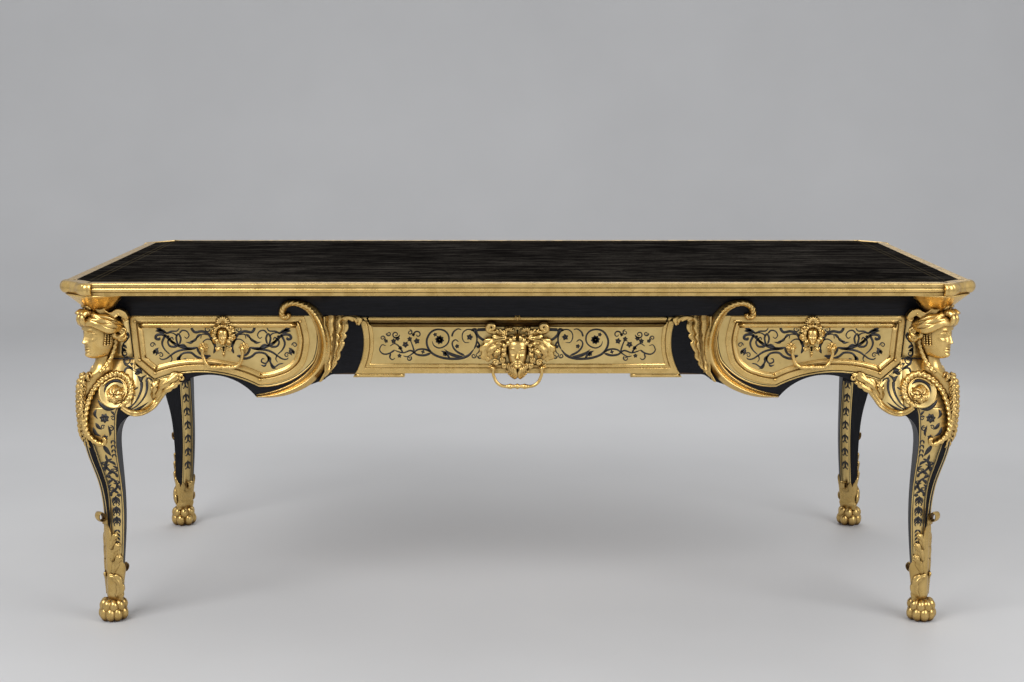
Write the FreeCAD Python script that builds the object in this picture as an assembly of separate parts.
import FreeCAD, Part

import math
import os

# A bureau plat: a long writing table with brass marquetry, gilt-bronze mounts and three frieze drawers.
# Millimetres, +Z up, origin on the floor under the middle of the top. The front with the working drawers is
# at -Y, the back with the false drawers at +Y. Repeats that share a file are separate solids in one compound.

V = FreeCAD.Vector

# Overall size
top_width = 2020.0
top_depth = 980.0
table_height = 790.0
corner_cant = 65.0

# Top: board, leather and bronze edge
moulding_height = 28.0
moulding_width = 26.0
torus_bulge = 4.8
leather_thickness = 2.0
clasp_return = 12.0
clasp_lift = 10.0

# Frieze
face_inset = 85.0
board_thickness = 22.0
cornice_height = 55.0
cornice_reach = 55.0
cornice_back = 50.0
cornice_end_inset = 96.0
recess_half_width = 380.0
recess_depth = 55.0
apron_drop = 142.0
ear_drop = 218.0
ear_run = 112.0
tip_drop = 185.0
recess_drop = 141.0
spring_fall = 6.0
arch_lift = 4.0
arch_skew = 11.0
tip_run = 8.0
root_run = 45.0
centre_rail_height = 8.0
running_gap = 1.0

# Side drawer outline, measured from its upper corners
lean = 9.0
shoulder_drop = 107.0
heel_run = 43.0
heel_drop = 144.0
arch_drop = 125.0
cusp_run = 132.0
cusp_drop = 157.0
swell_drop = 100.0
swell_run = 10.0
stile_width = 17.0

# Centre drawer outline
centre_half_width = 362.0
centre_waist = 11.0
centre_flare = 15.0
centre_top_drop = 11.0
foot_run = 118.0
foot_step = 9.0

# Drawer boxes
front_thickness = 22.0
drawer_length = 560.0
side_thickness = 11.0
bottom_thickness = 7.0
box_height = 98.0
box_side_clear = 14.0
box_swell_clear = 20.0
runner_height = 18.0
runner_width = 30.0
slide_clearance = 0.3
partition_thickness = 22.0

# Locks
lock_width = 64.0
lock_height = 92.0
lock_depth = 14.0
bolt_width = 26.0
bolt_depth = 6.0
bolt_length = 26.0
bolt_travel = 9.0
bolt_clearance = 0.2
keyhole_radius = 3.0
keyhole_length = 12.0

# Legs: insets from the edge of the top, against shares of the climb from the foot to knee_top or to ear_z
leg_post = 52.0
leg_chamfer = 10.0
leg_foot_height = 50.0
knee_drop = 95.0
leg_cant = 26.0
leg_outer_curve = [(68.0, 0.0), (67.0, 0.23), (65.0, 0.39), (57.0, 0.50), (39.0, 0.63), (34.0, 0.71),
                   (38.0, 0.81), (60.0, 0.91), (face_inset, 1.0)]
leg_inner_curve = [(118.0, 0.94), (111.0, 0.80), (114.0, 0.64), (115.0, 0.47), (111.0, 0.28), (101.0, 0.0)]

# Knee volutes: the rope's roll and the run of its tail, on the same climb as the outer curve
volute_seat = (108.0, 0.88)
volute_radius = 40.0
volute_relief = 4.0
rope_width = 14.0
rope_relief = 10.0
rope_curve = [(92.0, 0.94), (70.0, 0.90), (57.0, 0.85), (50.0, 0.78), (49.0, 0.71), (58.0, 0.67),
              (78.0, 0.65)]

# Sabots
sabot_wall = 4.0
sabot_outer_top = 262.0
sabot_inner_top = 128.0
sabot_floor = 36.0
paw_radius = 29.0
paw_sink = 8.0
toe_radius = 10.5
toe_reach = 27.0
toe_spread = 54.0
paw_forward = 8.0
tip_roll = 8.0
inner_roll = 6.0

# Bronze frames round the drawers
frame_width = 20.0
frame_step = 9.0
frame_height = 3.0
frame_bead = 3.0
frame_border = 7.0

# Handles
handle_spacing = 92.0
handle_drop = 72.0
handle_length = 45.0
centre_handle_spacing = 114.0
centre_handle_drop = 126.0
centre_handle_length = 44.0
bail_radius = 3.6
bail_stand = 17.0
pin_radius = 3.0
pin_clearance = 0.05
ball_radius = 7.5
rosette_radius = 12.0
rosette_thickness = 4.0
eye_gap = 0.6

# Busts, masks and scrolls
bust_chin_drop = 146.0
head_height = 118.0
head_half = 45.0
head_reach = 67.0
nose_reach = 8.0
garland_half = 14.0
garland_relief = 14.0
neck_half = 22.0
small_mask_width = 46.0
small_mask_height = 50.0
small_mask_relief = 18.0
small_mask_drop = 40.0
centre_mask_width = 92.0
centre_mask_height = 100.0
centre_mask_relief = 36.0
centre_mask_drop = 100.0
scroll_relief = 20.0
scroll_width = 33.0
leaf_drop = 135.0
leaf_thickness = 6.0
ear_mount_width = 12.0
ear_mount_relief = 9.0

half_w = top_width / 2
half_d = top_depth / 2
board_bottom = table_height - moulding_height
frieze_top = board_bottom - cornice_height
face_y = -(half_d - face_inset)
face_x = -(half_w - face_inset)
recess_y = face_y + recess_depth
post_inset = face_inset + leg_post
drawer_left_x = -(half_w - post_inset) + running_gap
drawer_right_x = -(recess_half_width + recess_depth + stile_width)
drawer_top = frieze_top - running_gap
centre_top = frieze_top - centre_top_drop - running_gap
knee_top = frieze_top - knee_drop
ear_z = frieze_top - ear_drop
key_drop = 0.42 * centre_mask_drop
root_half = math.sqrt(0.5)


# Small helpers

def line(a, b):
    return Part.LineSegment(V(*a), V(*b)).toShape()


def arc(a, middle, b):
    return Part.Arc(V(*a), V(*middle), V(*b)).toShape()


def spline(points):
    curve = Part.BSplineCurve()
    curve.interpolate([V(*p) for p in points])
    return curve.toShape()


def face_of(edges):
    return Part.Face(Part.Wire(edges))


def polygon(points):
    return face_of([line(a, b) for a, b in zip(points, points[1:] + points[:1])])


def box(x0, x1, y0, y1, z0, z1):
    return Part.makeBox(x1 - x0, y1 - y0, z1 - z0, V(x0, y0, z0))


def largest(shape):
    return max(shape.Solids, key=lambda piece: piece.Volume)


def flip_x(shape):
    return shape.mirror(V(0, 0, 0), V(1, 0, 0))


def flip_y(shape):
    return shape.mirror(V(0, 0, 0), V(0, 1, 0))


def front_face(edges_xz, y):
    """A face in a plane of constant y, from edges drawn at y = 0."""
    face = face_of(edges_xz)
    face.translate(V(0, y, 0))
    return face


def write(name, *shapes):
    shape = shapes[0] if len(shapes) == 1 else Part.makeCompound(list(shapes))
    shape.exportStep(os.path.join("parts", name + ".step"))


# Top

def moulding_profile():
    """The bronze edge in section: fillet, groove, torus, groove, upper fillet; x is the inset."""
    fillet = 0.11 * moulding_width
    nosing = 0.07 * moulding_width
    groove = torus_bulge
    low, mid, high = (moulding_height * share for share in (0.25, 0.45, 0.66))
    top = moulding_height
    shoulder = 0.1 * moulding_height
    return [
        line((moulding_width, 0, 0), (fillet, 0, 0)),
        line((fillet, 0, 0), (fillet, 0, low)),
        line((fillet, 0, low), (groove, 0, low)),
        arc((groove, 0, low), (0, 0, mid), (groove, 0, high)),
        line((groove, 0, high), (nosing, 0, high)),
        line((nosing, 0, high), (nosing, 0, top - shoulder)),
        arc((nosing, 0, top - shoulder), (nosing + 0.5 * shoulder, 0, top - 0.2 * shoulder),
            (nosing + shoulder, 0, top)),
        line((nosing + shoulder, 0, top), (moulding_width, 0, top)),
        line((moulding_width, 0, top), (moulding_width, 0, 0)),
    ]


def moulding_run(half_length, half_span):
    """A straight run of the edge along X, whose outer line lies at y = -half_span."""
    face = face_of(moulding_profile())
    face.rotate(V(0, 0, 0), V(0, 0, 1), 90)
    face.translate(V(-half_length, -half_span, board_bottom))
    return face.extrude(V(2 * half_length, 0, 0))


def top_outline(inset, z):
    """The canted rectangle of the top, drawn in by the given inset."""
    w, d = half_w - inset, half_d - inset
    cant = corner_cant - inset * (2 - math.sqrt(2))
    points = []
    for sx, sy in ((-1, -1), (1, -1), (1, 1), (-1, 1)):
        ends = [V(sx * w, sy * (d - cant), z), V(sx * (w - cant), sy * d, z)]
        points += ends if sx * sy > 0 else ends[::-1]
    return polygon([tuple(p) for p in points])


def half_space(x, y, angle):
    """Everything beyond an upright plane through a point, on the side that the angle points to."""
    size = 4 * moulding_width + 4 * corner_cant
    block = Part.makeBox(size, 2 * size, 2 * size, V(0, -size, -size))
    block.rotate(V(0, 0, 0), V(0, 0, 1), angle)
    block.translate(V(x, y, board_bottom))
    return block


def clasp_profile():
    """Section of a corner clasp: one full round that swells out beyond the edge it covers."""
    edge, mid = 0.12 * moulding_width, 0.45 * moulding_height
    return [
        arc((edge, 0, 0), (-clasp_lift, 0, mid), (edge, 0, 2 * mid)),
        line((edge, 0, 2 * mid), (0.5 * moulding_width, 0, moulding_height)),
        line((0.5 * moulding_width, 0, moulding_height), (moulding_width, 0, moulding_height)),
        line((moulding_width, 0, moulding_height), (moulding_width, 0, 0)),
        line((moulding_width, 0, 0), (edge, 0, 0)),
    ]


def corner_clasp():
    """The front left corner of the edge: the cant and two short returns, mitred, of a fuller section."""
    ends = corner_cant + clasp_return
    turn_x, turn_y = -half_w + corner_cant, -half_d
    length = 2 * corner_cant + 2 * moulding_width
    section = face_of(clasp_profile())
    section.rotate(V(0, 0, 0), V(0, 0, 1), 90)
    back = section.extrude(V(-clasp_return - moulding_width, 0, 0))
    back.translate(V(-half_w + ends, -half_d, board_bottom))
    back = back.cut(half_space(turn_x, turn_y, 157.5))
    cant = section.extrude(V(-length, 0, 0))
    cant.translate(V(length / 2, 0, 0))
    cant.rotate(V(0, 0, 0), V(0, 0, 1), -45)
    cant.translate(V(-half_w + corner_cant / 2, -half_d + corner_cant / 2, board_bottom))
    cant = cant.cut(half_space(turn_x, turn_y, -22.5)).cut(half_space(-half_w, -half_d + corner_cant, 112.5))
    return cant.fuse([back, over_corner(back)]).removeSplitter()


# Legs: sawn from two faces, then chamfered down the outer corner

def climb(curve, top):
    """A curve of insets and shares of the climb from the foot, as insets and heights."""
    return [(inset, leg_foot_height + share * (top - leg_foot_height)) for inset, share in curve]


leg_outer = climb(leg_outer_curve, knee_top)
leg_inner = climb(leg_inner_curve, ear_z)


def inset_at(points, z):
    """The inset of a rising profile at a height, by straight lines between its points."""
    for (u0, z0), (u1, z1) in zip(points, points[1:]):
        if z <= z1:
            break
    return u0 + (u1 - u0) * (z - z0) / (z1 - z0)


def two_way(edges, length):
    """The solid whose front and side views are both the given profile of inset against height."""
    front = face_of(edges).extrude(V(0, length, 0))
    side = front.mirror(V(0, 0, 0), V(root_half, -root_half, 0))
    return front.common(side)


def diagonal_keep(points, top, chamfer, reach):
    """The space behind a chamfer that follows the outer profile, for trimming the outer corner."""
    curve = [(math.sqrt(2) * u + chamfer * root_half, 0, z) for u, z in points]
    first, last = curve[0], curve[-1]
    edges = [spline(curve)]
    if top > last[2]:
        edges.append(line(last, (last[0], 0, top)))
    edges += [line((last[0], 0, top), (reach, 0, top)), line((reach, 0, top), (reach, 0, first[2])),
              line((reach, 0, first[2]), first)]
    block = face_of(edges).extrude(V(0, 2 * reach, 0))
    block.translate(V(0, -reach, 0))
    block.rotate(V(0, 0, 0), V(0, 0, 1), 45)
    return block


def cant_keep(points, top, cant, reach):
    """The space in front of a cant across the inner corner, open above the inner profile's last point."""
    curve = [(math.sqrt(2) * u - cant * root_half, 0, z) for u, z in points]
    first, last = curve[0], curve[-1]
    edges = [line((0, 0, first[2]), first), spline(curve), line(last, (reach, 0, last[2])),
             line((reach, 0, last[2]), (reach, 0, top)), line((reach, 0, top), (0, 0, top)),
             line((0, 0, top), (0, 0, first[2]))]
    block = face_of(edges).extrude(V(0, 2 * reach, 0))
    block.translate(V(0, -reach, 0))
    block.rotate(V(0, 0, 0), V(0, 0, 1), 45)
    return block


def to_corner(shape):
    """From corner insets to the front left corner of the table."""
    shape.translate(V(-half_w, -half_d, 0))
    return shape


def over_corner(shape):
    """The same piece on the other face of the front left corner."""
    return shape.mirror(V(-half_w, -half_d, 0), V(root_half, -root_half, 0))


def leg():
    """Cabriole profile, square post with the slanted edge of the drawer's opening, and the frieze's ear."""
    toe, knee = leg_outer[0], leg_outer[-1]
    shoulder = post_inset + lean
    slant_z = frieze_top - shoulder_drop
    start = (shoulder, 0, ear_z)
    edges = [
        spline([(u, 0, z) for u, z in leg_outer]),
        line((knee[0], 0, knee[1]), (face_inset, 0, board_bottom)),
        line((face_inset, 0, board_bottom), (post_inset, 0, board_bottom)),
        line((post_inset, 0, board_bottom), (post_inset, 0, frieze_top)),
        line((post_inset, 0, frieze_top), (shoulder, 0, slant_z)), line((shoulder, 0, slant_z), start),
        spline([start] + [(u, 0, z) for u, z in leg_inner]),
        line((leg_inner[-1][0], 0, leg_inner[-1][1]), (toe[0], 0, toe[1])),
    ]
    solid = two_way(edges, 2 * shoulder)
    solid = solid.common(diagonal_keep(leg_outer, board_bottom, leg_chamfer, 4 * shoulder))
    inner = leg_inner[::-1] + [(shoulder, ear_z)]
    solid = solid.common(cant_keep(inner, board_bottom, leg_cant, 4 * shoulder))
    return to_corner(solid)


def lion_paw():
    """A ball with a short ankle and four toes, cut flat on the floor; it points along -X."""
    paw = Part.makeSphere(paw_radius, V(0, 0, paw_radius - paw_sink))
    paw = paw.fuse(Part.makeCylinder(0.8 * paw_radius, sabot_floor, V(0, 0, 0.3 * paw_radius)))
    for place in (-1.5, -0.5, 0.5, 1.5):
        angle = math.radians(180 + place * toe_spread / 2)
        reach = toe_reach - 0.2 * toe_radius * abs(place)
        tip = V(reach * math.cos(angle), reach * math.sin(angle), 0.9 * toe_radius)
        back = V(0.3 * tip.x, 0.3 * tip.y, paw_radius)
        toe = Part.makeCylinder(0.9 * toe_radius, (tip - back).Length, back, tip - back)
        paw = paw.fuse([Part.makeSphere(toe_radius, tip, tip - back), toe])
    size = 4 * paw_radius
    return paw.cut(Part.makeBox(size, size, size, V(-size / 2, -size / 2, -size)))


def leaf_roll(radius, reach, z):
    """The curled tip of a leaf, lying across the diagonal at a distance from the corner."""
    width = 2.2 * radius
    return Part.makeCylinder(radius, width, V(reach, -width / 2, z), V(0, 1, 0))


def sabot(leg_solid):
    """A leaf-topped sheath round the ankle on a lion's paw, cast in one."""
    outer = [(u - sabot_wall, z) for u, z in leg_outer if z < sabot_outer_top]
    outer[0] = (outer[0][0], sabot_floor)
    outer.append((inset_at(leg_outer, sabot_outer_top) - sabot_wall, sabot_outer_top))
    inner_u = leg_inner[-1][0] + sabot_wall
    ankle_u = inset_at(leg_inner[::-1], sabot_inner_top) + sabot_wall
    middle = ((outer[-1][0] + ankle_u) / 2 + sabot_wall, 0, 0.6 * sabot_inner_top + 0.4 * sabot_outer_top)
    edges = [
        spline([(u, 0, z) for u, z in outer]),
        arc((outer[-1][0], 0, sabot_outer_top), middle, (ankle_u, 0, sabot_inner_top)),
        line((ankle_u, 0, sabot_inner_top), (inner_u, 0, leg_foot_height)),
        line((inner_u, 0, leg_foot_height), (inner_u, 0, sabot_floor)),
        line((inner_u, 0, sabot_floor), (outer[0][0], 0, sabot_floor)),
    ]
    sheath = two_way(edges, 2 * ankle_u)
    sheath = sheath.common(diagonal_keep(outer, sabot_outer_top, leg_chamfer, 4 * ankle_u))
    inner = [(u + sabot_wall, z) for u, z in leg_inner[::-1]]
    inner[0] = (inner[0][0], sabot_floor)
    sheath = sheath.common(cant_keep(inner, frieze_top, leg_cant, 4 * ankle_u))
    paw = lion_paw()
    paw.translate(V(math.sqrt(2) * (outer[0][0] + inner_u) / 2 - paw_forward, 0, 0))
    front = math.sqrt(2) * outer[-1][0] + leg_chamfer * root_half
    rear = math.sqrt(2) * ankle_u - leg_cant * root_half
    rolls = [leaf_roll(tip_roll, front - 0.6 * tip_roll, sabot_outer_top - 2 * tip_roll),
             leaf_roll(inner_roll, rear + 0.6 * inner_roll, sabot_inner_top - 2 * inner_roll)]
    foot = paw.fuse(rolls)
    foot.rotate(V(0, 0, 0), V(0, 0, 1), 45)
    return largest(to_corner(sheath.fuse(foot)).cut(leg_solid))


def rope_band(points, width):
    """The outline of a band of even width along points of (inset, height), drawn at y = 0."""
    path = Part.BSplineCurve()
    path.interpolate([V(u, 0, z) for u, z in points])
    sides = [], []
    for u, z in points:
        at = V(u, 0, z)
        along = path.tangent(path.parameter(at))[0]
        across = V(along[2], 0, -along[0]) * (width / 2)
        sides[0].append(tuple(at + across))
        sides[1].append(tuple(at - across))
    left, right = sides
    return [spline(left), line(left[-1], right[-1]), spline(right[::-1]), line(right[0], left[0])]


def knee_volute(leg_solid):
    """A rope rolled up on the knee's front round a thinner plate, its tail lying down the leg's curve."""
    inset, z = climb([volute_seat], knee_top)[0]
    depth = V(0, 2 * post_inset, 0)
    at = V(inset, 0, z)
    roll = Part.makeCylinder(volute_radius, depth.y, at, V(0, 1, 0))
    eye = Part.makeCylinder(volute_radius - rope_width, depth.y, at, V(0, 1, 0))
    tail = face_of(rope_band(climb(rope_curve, knee_top), rope_width)).extrude(depth)
    rope = to_corner(roll.fuse(tail).cut(eye))
    layers = []
    for form, relief_height in ((rope, rope_relief), (to_corner(eye), volute_relief)):
        lifted = leg_solid.copy()
        lifted.translate(V(0, -relief_height, 0))
        layers.append(form.common(lifted).cut(leg_solid))
    return largest(layers[0].fuse(layers[1]).removeSplitter())


# Bronze relief: a smooth front drawn by a grid of control points, closed by flat faces

def clamped(count):
    """Multiplicities and knots of a cubic curve from its first control point to its last."""
    return [4] + [1] * (count - 4) + [4], list(range(count - 2))


def relief(rows):
    """A solid with a cubic front over rows of control points; the row ends lie in one flat back."""
    u_mults, u_knots = clamped(len(rows))
    v_mults, v_knots = clamped(len(rows[0]))
    surface = Part.BSplineSurface()
    surface.buildFromPolesMultsKnots(rows, u_mults, v_mults, u_knots, v_knots, False, False, 3, 3)
    first, last = (surface.uIso(u).toShape() for u in (u_knots[0], u_knots[-1]))
    left, right = (surface.vIso(v).toShape() for v in (v_knots[0], v_knots[-1]))
    foot = line(rows[0][-1], rows[0][0])
    head = line(rows[-1][0], rows[-1][-1])
    shell = Part.makeShell([surface.toShape(), face_of([first, foot]), face_of([last, head]),
                            face_of([left, head, right, foot])])
    shell.sewShape()
    solid = Part.makeSolid(shell)
    if solid.Volume < 0:
        solid.reverse()
    return solid


def scroll(points, y, height):
    """A half-round on the plane y through points of (x, z, width); its height follows the width."""
    curve = Part.BSplineCurve()
    curve.interpolate([V(x, y, z) for x, z, _ in points])
    widest = max(width for _, _, width in points)
    rows = []
    for x, z, width in points:
        at = V(x, y, z)
        along = curve.tangent(curve.parameter(at))[0]
        across = V(along[2], 0, -along[0])
        rise = 1.4 * height * (0.35 + 0.65 * width / widest)
        half = across * (width / 2)
        rows.append([at + half, at + half - V(0, 0.8 * rise, 0), at - V(0, rise, 0),
                     at - half - V(0, 0.8 * rise, 0), at - half])
    return relief(rows)


def mask(x, z, width, height, rise, y):
    """A face on the plane y: brow, nose, cheeks and chin from one formula, calm and of no one."""
    levels, columns = 12, 11
    rows = []
    for i in range(levels):
        t = i / (levels - 1)
        span = (0.30 + 0.70 * math.sin(math.pi * (0.08 + 0.80 * t)) ** 0.6) * width / 2
        lift = rise * (0.25 + 0.75 * math.sin(math.pi * (0.10 + 0.78 * t)) ** 0.7)
        row = []
        for j in range(columns):
            a = math.pi * (j / (columns - 1) - 0.5)
            nose = 0.30 * math.exp(-(a / 0.25) ** 2) * math.exp(-((t - 0.46) / 0.13) ** 2)
            brow = 0.10 * math.exp(-((abs(a) - 0.45) / 0.3) ** 2) * math.exp(-((t - 0.68) / 0.09) ** 2)
            depth = lift * max(math.cos(a), 0) ** 0.8 * (1 + nose + brow) if 0 < j < columns - 1 else 0.0
            row.append(V(x + span * math.sin(a), y - depth, z - height / 2 + height * t))
        rows.append(row)
    return relief(rows)


def eased(stations, z):
    """The values at height z, eased between the stations above and below it with no overshoot."""
    for low, high in zip(stations, stations[1:]):
        if z <= high[0]:
            break
    t = min(max((z - low[0]) / (high[0] - low[0]), 0), 1)
    t = t * t * (3 - 2 * t) * 0.5 + 0.5 * t
    return [a + (b - a) * t for a, b in zip(low[1:], high[1:])]


def bust(*seats):
    """One casting from the tip of the garland up to the capital, standing on the diagonal of the corner."""
    post = math.sqrt(2) * face_inset + leg_chamfer * root_half
    knee = [math.sqrt(2) * u + leg_chamfer * root_half for u, _ in leg_outer]
    heights = [z for _, z in leg_outer]
    top = board_bottom
    chin = top - bust_chin_drop
    neck = chin - neck_half
    # Height, distance of the front from the corner, half width, reach of the nose
    stations = [
        (heights[4] + 0.8 * garland_relief, knee[4] - 0.4 * garland_relief, 0.6 * garland_half, 0),
        (heights[5] + 0.5 * garland_relief, knee[5] - 0.8 * garland_relief, garland_half, 0),
        (heights[6] + 1.4 * garland_relief, knee[6] - 1.1 * garland_relief, garland_half, 0),
        (neck - 1.5 * neck_half, post - 1.13 * head_reach, 1.2 * garland_half, 0),
        (neck - 0.8 * neck_half, post - 0.9 * head_reach, 1.1 * neck_half, 0),
        (neck, post - 0.65 * head_reach, neck_half, 0),
        (chin, post - 0.75 * head_reach, neck_half, 0),
        (chin + 0.06 * head_height, post - 0.93 * head_reach, 0.56 * head_half, 0),
        (chin + 0.17 * head_height, post - head_reach, 0.69 * head_half, 0.25 * nose_reach),
        (chin + 0.30 * head_height, post - head_reach, 0.80 * head_half, nose_reach),
        (chin + 0.44 * head_height, post - head_reach, 0.89 * head_half, 0.12 * nose_reach),
        (chin + 0.71 * head_height, post - 1.07 * head_reach, head_half, 0),
        (chin + head_height, post - 0.75 * head_reach, 0.69 * head_half, 0),
        (top, post - 1.16 * head_reach, 1.2 * head_half, 0),
    ]
    back = post + leg_chamfer
    levels, columns = 29, 11
    rows = []
    for i in range(levels):
        z = stations[0][0] + (top - stations[0][0]) * i / (levels - 1)
        front, half, nose = eased(stations, z)
        row = []
        for j in range(columns):
            a = math.pi * (j / (columns - 1) - 0.5)
            depth = (back - front) * max(math.cos(a), 0) ** 0.6 if 0 < j < columns - 1 else 0.0
            row.append(V(back - depth - nose * math.exp(-(a / 0.25) ** 2), half * math.sin(a), z))
        rows.append(row)
    solid = relief(rows)
    solid.rotate(V(0, 0, 0), V(0, 0, 1), 45)
    to_corner(solid)
    for seat in seats:
        solid = solid.cut(seat)
    return largest(solid)


# Frieze outlines, drawn in the plane y = 0

def side_drawer_edges(gap):
    """The left drawer front: leaning left edge, heel, arch, cusp and a swelling right edge."""
    x0, x1, top = drawer_left_x - gap, drawer_right_x + gap, drawer_top + gap
    low = drawer_top - gap
    shoulder = (x0 + lean, 0, frieze_top - shoulder_drop - gap)
    heel = (drawer_left_x + lean + heel_run - 0.3 * gap, 0, low - heel_drop)
    cusp = (drawer_right_x - cusp_run, 0, low - cusp_drop - gap)
    apex = ((heel[0] + cusp[0]) / 2 + arch_skew, 0, low - arch_drop)
    swell = (x1 - swell_run, 0, low - swell_drop)
    corner = (x1 - swell_run, 0, top)
    return [
        line((x0, 0, top), shoulder), line(shoulder, heel), arc(heel, apex, cusp),
        arc(cusp, (x1 - 0.33 * cusp_run, 0, low - 0.845 * cusp_drop), swell),
        arc(swell, (x1, 0, low - 0.58 * swell_drop), corner), line(corner, (x0, 0, top)),
    ]


def centre_drawer_edges(gap):
    """The centre drawer front: hollow ends and a stepped foot at each end."""
    top = centre_top + gap
    foot = drawer_top - recess_drop - foot_step - gap
    bottom = foot + foot_step
    wide = centre_half_width + centre_flare + gap
    head = centre_half_width + gap
    waist = centre_half_width - centre_waist + gap
    inner = wide - foot_run - 2 * gap
    middle = 0.55 * top + 0.45 * foot
    return [
        line((-head, 0, top), (head, 0, top)), arc((head, 0, top), (waist, 0, middle), (wide, 0, foot)),
        line((wide, 0, foot), (inner, 0, foot)), line((inner, 0, foot), (inner, 0, bottom)),
        line((inner, 0, bottom), (-inner, 0, bottom)), line((-inner, 0, bottom), (-inner, 0, foot)),
        line((-inner, 0, foot), (-wide, 0, foot)),
        arc((-wide, 0, foot), (-waist, 0, middle), (-head, 0, top)),
    ]


def apron_edges(end_x):
    """The silhouette of the left part of the frieze below its top line, from the leg to the given end."""
    leg_x = -(half_w - post_inset - lean)
    top = frieze_top
    ear = (leg_x, 0, top - ear_drop)
    spring = (leg_x + ear_run, 0, top - apron_drop - spring_fall)
    tip = (drawer_right_x - cusp_run - tip_run, 0, top - tip_drop)
    apex = ((spring[0] + tip[0]) / 2 + arch_skew, 0, top - apron_drop + 0.5 * arch_lift)
    root = (-(recess_half_width + root_run), 0, top - recess_drop)
    return [
        line((end_x, 0, top), (leg_x, 0, top)), line((leg_x, 0, top), ear),
        arc(ear, (leg_x + 0.46 * ear_run, 0, top - 0.84 * ear_drop), spring), arc(spring, apex, tip),
        arc(tip, (0.42 * tip[0] + 0.58 * root[0], 0, top - tip_drop + 0.42 * (tip_drop - recess_drop)), root),
        line(root, (end_x, 0, top - recess_drop)), line((end_x, 0, top - recess_drop), (end_x, 0, top)),
    ]


def recess_tool():
    """The space in front of the recessed middle of the frieze: flat in the middle, a cove at each end."""
    low, high = frieze_top - 2 * tip_drop, frieze_top
    tool = box(-recess_half_width, recess_half_width, face_y - recess_depth, recess_y, low, high)
    for sx in (-1, 1):
        tool = tool.fuse(Part.makeCylinder(recess_depth, high - low, V(sx * recess_half_width, face_y, low)))
    return tool.removeSplitter()


def cornice_run(half_length, half_span):
    """The ebonised rail over the drawers, coved out to carry the top; along X, facing y = -half_span."""
    reach = face_inset - cornice_reach
    middle = (reach + cornice_reach * root_half, 0, frieze_top + cornice_height * root_half)
    back = face_inset + cornice_back
    face = face_of([
        arc((face_inset, 0, frieze_top), middle, (reach, 0, board_bottom)),
        line((reach, 0, board_bottom), (back, 0, board_bottom)),
        line((back, 0, board_bottom), (back, 0, frieze_top)),
        line((back, 0, frieze_top), (face_inset, 0, frieze_top)),
    ])
    face.rotate(V(0, 0, 0), V(0, 0, 1), 90)
    face.translate(V(-half_length, -half_span, 0))
    return face.extrude(V(2 * half_length, 0, 0))


def c_scroll():
    """The great bracket left of the recess: a C-scroll on the front with a leaf turned back into the cove."""
    x0, top = drawer_right_x, frieze_top
    # Shares of the drawer's cusp run, of the frieze's drop to its tip and of the scroll's width
    curve = [(-0.55, 0.04, 0.4), (-0.48, 0.15, 0.45), (-0.29, 0.18, 0.55), (-0.03, 0.09, 0.73),
             (0.16, -0.12, 0.91), (0.22, -0.36, 1.0), (0.15, -0.58, 0.97), (-0.08, -0.76, 0.88),
             (-0.39, -0.89, 0.73), (-0.73, -0.965, 0.52), (-1.045, -0.99, 0.24)]
    path = [(x0 + a * cusp_run, top + b * tip_drop, c * scroll_width) for a, b, c in curve]
    body = scroll(path, face_y, scroll_relief)
    edge, low = -recess_half_width, top - 2 * tip_drop
    out = edge - recess_depth
    ring = Part.makeCylinder(recess_depth, 2 * tip_drop, V(edge, face_y, low))
    ring = ring.cut(Part.makeCylinder(recess_depth - leaf_thickness, 2 * tip_drop, V(edge, face_y, low)))
    front = box(out, out + leaf_thickness, face_y - leaf_thickness, face_y, low, top)
    quarter = ring.common(box(out, edge, face_y, recess_y, low, top)).fuse(front)
    head = top - running_gap
    tip, waist, lobe, foot = (edge - share * recess_depth for share in (0.1, 0.3, 0.62, 0.82))
    leaf = face_of([
        line((out, 0, head), (tip, 0, head)),
        arc((tip, 0, head), (waist, 0, top - 0.31 * leaf_drop), (lobe, 0, top - 0.52 * leaf_drop)),
        arc((lobe, 0, top - 0.52 * leaf_drop), (0.97 * lobe + 0.03 * edge, 0, top - 0.77 * leaf_drop),
            (foot, 0, top - leaf_drop)),
        line((foot, 0, top - leaf_drop), (out, 0, top - leaf_drop)),
        line((out, 0, top - leaf_drop), (out, 0, head)),
    ])
    leaf.translate(V(0, face_y - recess_depth, 0))
    quarter = quarter.common(leaf.extrude(V(0, 3 * recess_depth, 0)))
    return body.fuse(quarter)


def ear_mount():
    """The bronze lip under the ear of the frieze beside the front left leg, ending in a leaf."""
    leg_x = -(half_w - post_inset - lean)
    z = frieze_top
    # Shares of the ear's run, of its drop and of the lip's width
    curve = [(0.04, 0.968, 1.0), (0.24, 0.89, 1.0), (0.5, 0.80, 1.7), (0.76, 0.71, 2.0), (1.0, 0.655, 0.8)]
    path = [(leg_x + a * ear_run, z - b * ear_drop, c * ear_mount_width) for a, b, c in curve]
    return scroll(path, face_y, ear_mount_relief)


# Drawers and their furniture

def outline_ring(edges, inset, width, height, y):
    """A flat moulding that follows an outline at the given inset, standing forward of the plane y."""
    base = face_of(edges)
    outer = base.makeOffset2D(-inset, 2, False, False, True)
    inner = base.makeOffset2D(-inset - width, 2, False, False, True)
    ring = outer.cut(inner)
    ring.translate(V(0, y, 0))
    return ring.extrude(V(0, -height, 0))


def drawer_frame(edges, y):
    """The two-step bronze moulding set in from the edge of a drawer front."""
    low = outline_ring(edges, frame_border, frame_width, frame_height, y)
    step_in = frame_border + (frame_width - frame_step) / 2
    high = outline_ring(edges, step_in, frame_step, frame_bead, y - frame_height)
    return low.fuse(high).removeSplitter()


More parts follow.
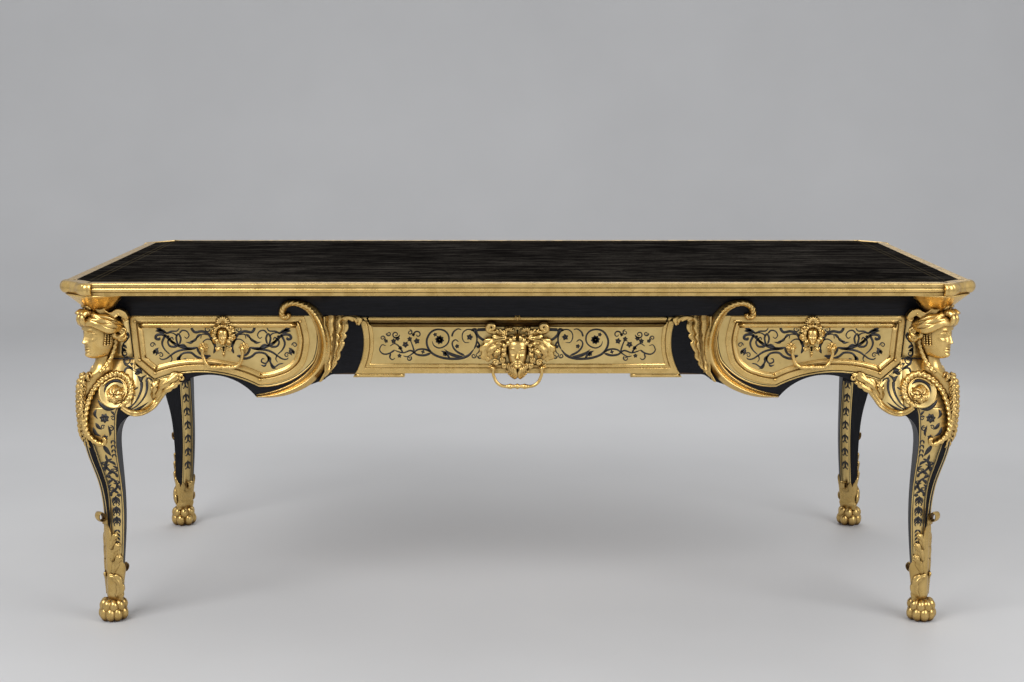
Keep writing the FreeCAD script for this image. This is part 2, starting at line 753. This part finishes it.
def keyhole(x, z, y0, y1):
    """A round eye over a slot, cut through from y0 to y1."""
    eye = Part.makeCylinder(keyhole_radius, y1 - y0, V(x, y0, z), V(0, 1, 0))
    return eye.fuse(box(x - 0.5 * keyhole_radius, x + 0.5 * keyhole_radius, y0, y1, z - keyhole_length, z))


def turned(profile, at):
    """A solid turned about an axis along X, from a closed profile of edges in (x, radius)."""
    solid = face_of(profile).revolve(V(0, 0, 0), V(1, 0, 0), 360)
    solid.translate(at)
    return solid


def rosette_post(x, z, y):
    """A rosette on the drawer front with a pierced barrel that takes one pin of the bail."""
    plate = Part.makeCone(rosette_radius, 0.7 * rosette_radius, rosette_thickness, V(x, y, z), V(0, -1, 0))
    stem = Part.makeCylinder(0.5 * ball_radius, bail_stand - pin_radius, V(x, y, z), V(0, -1, 0))
    half = 0.8 * ball_radius
    bore = pin_radius + pin_clearance
    rim = bore + 1.0
    barrel = turned([
        line((-half, 0, bore), (-half, 0, rim)), arc((-half, 0, rim), (0, 0, ball_radius), (half, 0, rim)),
        line((half, 0, rim), (half, 0, bore)), line((half, 0, bore), (-half, 0, bore)),
    ], V(x, y - bail_stand, z))
    pierce = Part.makeCylinder(bore, 2 * half, V(x - half, y - bail_stand, z), V(1, 0, 0))
    return plate.fuse(stem).cut(pierce).fuse(barrel)


def bail(x, z, y, spacing, length):
    """A drop handle: a rounded loop with a turned bar and a pin at each end, hung on two pierced barrels."""
    half = spacing / 2 - 0.8 * ball_radius - bail_radius - eye_gap
    bend = 0.42 * length
    r = bail_radius
    end = half - bend
    arm = Part.makeCylinder(r, length - bend + r, V(-half, 0, bend - length))
    elbow = Part.makeTorus(bend, r, V(0, 0, 0), V(0, 0, 1), 0, 360, 90)
    elbow.rotate(V(0, 0, 0), V(1, 0, 0), 90)
    elbow.rotate(V(0, 0, 0), V(0, 1, 0), 180)
    elbow.translate(V(-end, 0, bend - length))
    tenon = Part.makeCylinder(pin_radius, r + eye_gap + 1.7 * ball_radius, V(-half, 0, 0), V(-1, 0, 0))
    bar = turned([
        line((-end, 0, 0), (-end, 0, r)), line((-end, 0, r), (-3.2 * r, 0, r)),
        arc((-3.2 * r, 0, r), (-2.4 * r, 0, 1.4 * r), (-1.6 * r, 0, r)),
        arc((-1.6 * r, 0, r), (0, 0, 1.9 * r), (1.6 * r, 0, r)),
        arc((1.6 * r, 0, r), (2.4 * r, 0, 1.4 * r), (3.2 * r, 0, r)),
        line((3.2 * r, 0, r), (end, 0, r)), line((end, 0, r), (end, 0, 0)), line((end, 0, 0), (-end, 0, 0)),
    ], V(0, 0, -length))
    left = [arm, elbow, tenon]
    loop = bar.fuse(left + [flip_x(piece) for piece in left])
    loop.translate(V(x, y - bail_stand, z))
    return loop


def side_furniture(x, y):
    """Escutcheon mask, two rosettes and bail of a side drawer whose face is the plane y."""
    z = drawer_top
    head = mask(x, z - small_mask_drop, small_mask_width, small_mask_height, small_mask_relief, y)
    key_z = z - handle_drop
    tongue = Part.makeCone(0.9 * rosette_radius, 0.6 * rosette_radius, rosette_thickness,
                           V(x, y, key_z - keyhole_radius), V(0, -1, 0))
    head = head.fuse(tongue).cut(keyhole(x, key_z, y - 2 * small_mask_relief, y))
    posts = [rosette_post(x + sx * handle_spacing / 2, z - handle_drop, y) for sx in (-1, 1)]
    drop = bail(x, z - handle_drop, y, handle_spacing, handle_length)
    return [head] + posts, drop


def centre_furniture(y):
    """The great mask of the centre drawer between two leaf scrolls, its two rosettes and bail."""
    z = drawer_top
    drop = centre_mask_drop
    head = mask(0, z - drop, centre_mask_width, centre_mask_height, centre_mask_relief, y)
    half = centre_mask_width / 2
    # Shares of the mask's half width, of its drop and of its half width again for the scroll's own width
    curve = [(0.42, 0.72, 0.35), (0.95, 0.50, 0.43), (1.45, 0.56, 0.52), (1.72, 0.86, 0.59),
             (1.50, 1.13, 0.48), (1.12, 1.20, 0.28)]
    wing = scroll([(-a * half, z - b * drop, c * half) for a, b, c in curve], y, 0.45 * centre_mask_relief)
    rise = [(0.66, 0.9), (0.52, 1.0), (0.38, 0.7), (0.20, 0.2)]
    crest = scroll([(0, z - b * drop, c * half) for b, c in rise], y, 0.3 * centre_mask_relief)
    head = head.fuse(wing).fuse(flip_x(wing)).fuse(crest)
    head = head.cut(keyhole(0, z - key_drop, y - 2 * centre_mask_relief, y))
    posts = []
    handle_z = z - centre_handle_drop
    for sx in (-1, 1):
        post_x = sx * centre_handle_spacing / 2
        post = rosette_post(post_x, handle_z, y)
        space = Part.makeSphere(1.4 * ball_radius, V(post_x, y - bail_stand, handle_z))
        head = head.cut(space).cut(post)
        posts.append(post)
    loop = bail(0, handle_z, y, centre_handle_spacing, centre_handle_length)
    swing = Part.makeCylinder(3 * bail_radius, centre_handle_spacing,
                              V(-centre_handle_spacing / 2, y - bail_stand, handle_z), V(1, 0, 0))
    head = head.cut(swing)
    return [largest(head)] + posts, loop


def lock(x, top, y):
    """A lock case behind a drawer front and its bolt, which rises into the rail."""
    case = box(x - lock_width / 2, x + lock_width / 2, y, y + lock_depth, top - lock_height, top)
    mid = y + lock_depth / 2
    reach_x, reach_y = bolt_width / 2 + bolt_clearance, bolt_depth / 2 + bolt_clearance
    low = top - bolt_length - running_gap
    case = case.cut(box(x - reach_x, x + reach_x, mid - reach_y, mid + reach_y, low, top))
    bolt = box(x - bolt_width / 2, x + bolt_width / 2, mid - bolt_depth / 2, mid + bolt_depth / 2,
               low, top - running_gap)
    return case, bolt


def bolt_mortise(x, rail_bottom, y):
    """The space in a rail for the bolt of the lock below it, thrown to its end."""
    mid = y + lock_depth / 2
    reach_x, reach_y = bolt_width / 2 + running_gap, bolt_depth / 2 + running_gap
    head = rail_bottom + bolt_travel + running_gap
    return box(x - reach_x, x + reach_x, mid - reach_y, mid + reach_y, rail_bottom, head)


def drawer_box(x0, x1, y, z0):
    """Two sides, a back and a bottom behind a drawer front whose inner face is the plane y."""
    end = y + drawer_length - front_thickness
    floor = z0 + bottom_thickness
    left = box(x0, x0 + side_thickness, y, end, z0, z0 + box_height)
    right = box(x1 - side_thickness, x1, y, end, z0, z0 + box_height)
    back = box(x0 + side_thickness, x1 - side_thickness, end - side_thickness, end, floor, z0 + box_height)
    bottom = box(x0 + side_thickness, x1 - side_thickness, y, end, z0, floor)
    return [left, right, back, bottom]


def build():
    os.makedirs("parts", exist_ok=True)

    # Top
    write("top_board", top_outline(moulding_width, board_bottom).extrude(
        V(0, 0, moulding_height - leather_thickness)))
    write("leather_panel", top_outline(moulding_width, table_height - leather_thickness).extrude(
        V(0, 0, leather_thickness)))
    ends = corner_cant + clasp_return
    long_run = moulding_run(half_w - ends, half_d)
    short_run = moulding_run(half_d - ends, half_w)
    short_run.rotate(V(0, 0, 0), V(0, 0, 1), -90)
    write("top_moulding_front", long_run)
    write("top_moulding_back", flip_y(long_run))
    write("top_moulding_left", short_run)
    write("top_moulding_right", flip_x(short_run))
    clasp = corner_clasp()
    write("top_corner_clasps", clasp, flip_x(clasp), flip_y(clasp), flip_x(flip_y(clasp)))

    # Legs, cornices, busts and sabots
    corner_leg = leg()
    front_cornice = cornice_run(half_w - cornice_end_inset, half_d)
    side_cornice = cornice_run(half_d - cornice_end_inset, half_w)
    side_cornice.rotate(V(0, 0, 0), V(0, 0, 1), -90)
    side_cornice = side_cornice.cut(front_cornice).cut(flip_y(front_cornice))
    for cut_leg in (corner_leg, flip_x(corner_leg), flip_y(corner_leg), flip_x(flip_y(corner_leg))):
        front_cornice = front_cornice.cut(cut_leg)
        side_cornice = side_cornice.cut(cut_leg)
    back_cornice = flip_y(front_cornice)
    left_x = (drawer_left_x + drawer_right_x) / 2
    lock_y = face_y + front_thickness
    corner_bust = bust(corner_leg, front_cornice, side_cornice)
    volute = largest(knee_volute(corner_leg).cut(corner_bust))
    volutes = [volute, over_corner(volute)]
    corner_sabot = sabot(corner_leg)
    for sx in (-1, 1):
        front_cornice = front_cornice.cut(bolt_mortise(sx * left_x, frieze_top, lock_y))
    write("cornice_front", front_cornice)
    write("cornice_back", back_cornice)
    write("cornice_left", side_cornice)
    write("cornice_right", flip_x(side_cornice))
    corners = {"front_left": lambda s: s, "front_right": flip_x, "back_left": flip_y,
               "back_right": lambda s: flip_x(flip_y(s))}
    for name, turn in corners.items():
        write("leg_" + name, turn(corner_leg))
        write("bust_" + name, turn(corner_bust), *[turn(one) for one in volutes])
    write("paw_sabots", *[turn(corner_sabot) for turn in corners.values()])

    # Frieze on the front: rails under the drawers, dividers beside the recess
    tool = recess_tool()
    cusp_x = drawer_right_x - cusp_run
    ahead, through = face_y - recess_depth, V(0, 4 * recess_depth, 0)
    opening = front_face(side_drawer_edges(running_gap), ahead).extrude(through)
    middle = front_face(centre_drawer_edges(running_gap), ahead).extrude(through)
    apron = front_face(apron_edges(-centre_half_width + 2 * centre_waist), face_y)
    rail = apron.extrude(V(0, board_thickness, 0)).cut(opening)
    rail = rail.common(box(-half_w, cusp_x, face_y - 1, 0, 0, frieze_top))
    rail = largest(rail)
    stile_x = -(recess_half_width + recess_depth) - partition_thickness / 2
    divider = apron.extrude(V(0, board_thickness, 0)).fuse(
        apron.extrude(V(0, recess_depth + board_thickness, 0)).common(
            box(stile_x, 0, face_y, 0, 0, frieze_top)))
    divider = divider.cut(opening).cut(tool).cut(middle).removeSplitter()
    divider = divider.common(box(cusp_x, 0, face_y - 1, 0, 0, frieze_top))
    divider = largest(divider)
    write("bottom_rail_left", rail)
    write("bottom_rail_right", flip_x(rail))
    write("divider_left", divider)
    write("divider_right", flip_x(divider))
    inside = recess_y + board_thickness
    span = recess_half_width + recess_depth
    rail_low = drawer_top - recess_drop
    rail_top = rail_low + centre_rail_height
    write("bottom_rail_centre", box(-span, span, inside, inside + board_thickness, rail_low, rail_top))
    head_span = centre_half_width + running_gap
    top_rail = box(-head_span, head_span, recess_y, inside + lock_depth, centre_top + running_gap, frieze_top)
    top_rail = top_rail.cut(divider).cut(flip_x(divider))
    top_rail = top_rail.cut(bolt_mortise(0, centre_top + running_gap, recess_y + front_thickness))
    write("centre_top_rail", top_rail)

    # Ends and back
    end_half = half_d - post_inset - lean
    end_spring = end_half - ear_run
    z = frieze_top
    ear_low, spring_z = z - ear_drop, z - apron_drop - spring_fall
    hollow_in, hollow_z = end_half - 0.46 * ear_run, z - 0.84 * ear_drop
    end_face = face_of([
        line((-end_half, 0, z), (-end_half, 0, ear_low)),
        arc((-end_half, 0, ear_low), (-hollow_in, 0, hollow_z), (-end_spring, 0, spring_z)),
        arc((-end_spring, 0, spring_z), (0, 0, spring_z + 3 * arch_lift), (end_spring, 0, spring_z)),
        arc((end_spring, 0, spring_z), (hollow_in, 0, hollow_z), (end_half, 0, ear_low)),
        line((end_half, 0, ear_low), (end_half, 0, z)), line((end_half, 0, z), (-end_half, 0, z)),
    ])
    end_frame = drawer_frame(end_face.OuterWire.Edges, 0)
    for piece in (end_face, end_frame):
        piece.rotate(V(0, 0, 0), V(0, 0, 1), -90)
        piece.translate(V(face_x, 0, 0))
    all_legs = [turn(corner_leg) for turn in corners.values()]
    end_apron = end_face.extrude(V(board_thickness, 0, 0))
    for cut_leg in all_legs:
        end_apron = end_apron.cut(cut_leg)
    write("end_apron_left", end_apron)
    write("end_apron_right", flip_x(end_apron))
    half_apron = front_face(apron_edges(0), face_y)
    wall = half_apron.extrude(V(0, board_thickness, 0)).fuse(
        half_apron.extrude(V(0, recess_depth + board_thickness, 0)).common(
            box(-span - board_thickness, 0, face_y, 0, 0, z)))
    wall = wall.fuse(flip_x(wall)).cut(tool).removeSplitter()
    write("back_apron", flip_y(wall))

    # Inside: partitions and runners
    part_x1 = stile_x + partition_thickness
    side_floor = frieze_top - shoulder_drop + running_gap
    centre_floor = rail_top + slide_clearance
    partition = box(stile_x, part_x1, inside, -inside, rail_low + slide_clearance, board_bottom)
    partition = partition.cut(front_cornice).cut(back_cornice).cut(box(
        -half_w, half_w, inside, inside + board_thickness, rail_low, rail_top))
    write("partition_left", partition)
    write("partition_right", flip_x(partition))
    box_x0 = drawer_left_x + box_side_clear
    box_x1 = drawer_right_x - box_swell_clear
    runner_z = side_floor - slide_clearance
    runner_front = face_y + board_thickness
    end_in = face_x + board_thickness
    rear = -(face_y + board_thickness)
    side_runners = [
        box(end_in, box_x0 + runner_width, runner_front, rear, runner_z - runner_height, runner_z),
        box(box_x1 - runner_width, stile_x, runner_front, rear, runner_z - runner_height, runner_z)]
    for solid in [corner_leg, flip_y(corner_leg), rail, flip_y(wall), divider]:
        side_runners = [r.cut(solid) for r in side_runners]
    side_runners = [largest(r) for r in side_runners]
    centre_x1 = centre_half_width - centre_waist - box_side_clear
    centre_runner = box(part_x1, -centre_x1 + runner_width, inside + board_thickness, -inside,
                        centre_floor - slide_clearance - runner_height, centre_floor - slide_clearance)
    centre_runner = largest(centre_runner.cut(flip_y(wall)))
    runners = side_runners + [centre_runner]
    write("drawer_runners", *(runners + [flip_x(r) for r in runners]))

    # Drawers
    front = front_face(side_drawer_edges(0), face_y).extrude(V(0, front_thickness, 0))
    front = front.cut(keyhole(left_x, drawer_top - handle_drop, face_y, lock_y))
    furniture, drop = side_furniture(left_x, face_y)
    frame = drawer_frame(side_drawer_edges(0), face_y)
    furniture = [largest(piece.cut(frame)) for piece in furniture]
    case, bolt = lock(left_x, drawer_top, lock_y)
    case = case.cut(keyhole(left_x, drawer_top - handle_drop, lock_y, lock_y + lock_depth))
    boards = drawer_box(box_x0, box_x1, lock_y, side_floor)
    for name, turn in (("left", lambda s: s), ("right", flip_x)):
        write(f"drawer_{name}_front", turn(front))
        write(f"drawer_{name}_frame", turn(frame))
        write(f"drawer_{name}_mask", *[turn(p) for p in furniture])
        write(f"drawer_{name}_bail", turn(drop))
        write(f"drawer_{name}_lock", turn(case))
        write(f"drawer_{name}_bolt", turn(bolt))
        write(f"drawer_{name}_box", *[turn(b) for b in boards])
        write(f"back_bail_{name}", flip_y(turn(drop)))
    key_z = drawer_top - key_drop
    centre_lock_y = recess_y + front_thickness
    centre_front = front_face(centre_drawer_edges(0), recess_y).extrude(V(0, front_thickness, 0))
    centre_front = centre_front.cut(keyhole(0, key_z, recess_y, centre_lock_y))
    centre_pieces, centre_drop = centre_furniture(recess_y)
    centre_frame = drawer_frame(centre_drawer_edges(0), recess_y)
    centre_pieces = [largest(piece.cut(centre_frame)) for piece in centre_pieces]
    centre_case, centre_bolt = lock(0, centre_top, centre_lock_y)
    centre_case = centre_case.cut(keyhole(0, key_z, centre_lock_y, centre_lock_y + lock_depth))
    write("drawer_centre_front", centre_front)
    write("drawer_centre_frame", centre_frame)
    write("drawer_centre_mask", *centre_pieces)
    write("drawer_centre_bail", centre_drop)
    write("drawer_centre_lock", centre_case)
    write("drawer_centre_bolt", centre_bolt)
    write("drawer_centre_box", *drawer_box(-centre_x1, centre_x1, centre_lock_y, centre_floor))
    write("back_bail_centre", flip_y(centre_drop))

    # Fixed bronze: scrolls, ears, false drawer frames and masks
    bracket = c_scroll()
    for solid in (front_cornice, divider, rail):
        bracket = bracket.cut(solid)
    bracket = largest(bracket)
    write("c_scroll_mounts", *[turn(bracket) for turn in corners.values()])
    lip = ear_mount().cut(corner_leg)
    lips = [lip, over_corner(lip)]
    write("ear_mounts", *[turn(one) for turn in corners.values() for one in lips])
    end_frame = largest(end_frame.cut([lips[1], flip_y(lips[1])]))
    false_frames = [flip_y(frame), flip_x(flip_y(frame)), flip_y(centre_frame), end_frame, flip_x(end_frame)]
    write("fixed_frames", *false_frames)
    false_masks = furniture + [flip_x(p) for p in furniture] + centre_pieces
    write("back_masks", *[flip_y(p) for p in false_masks])


build()
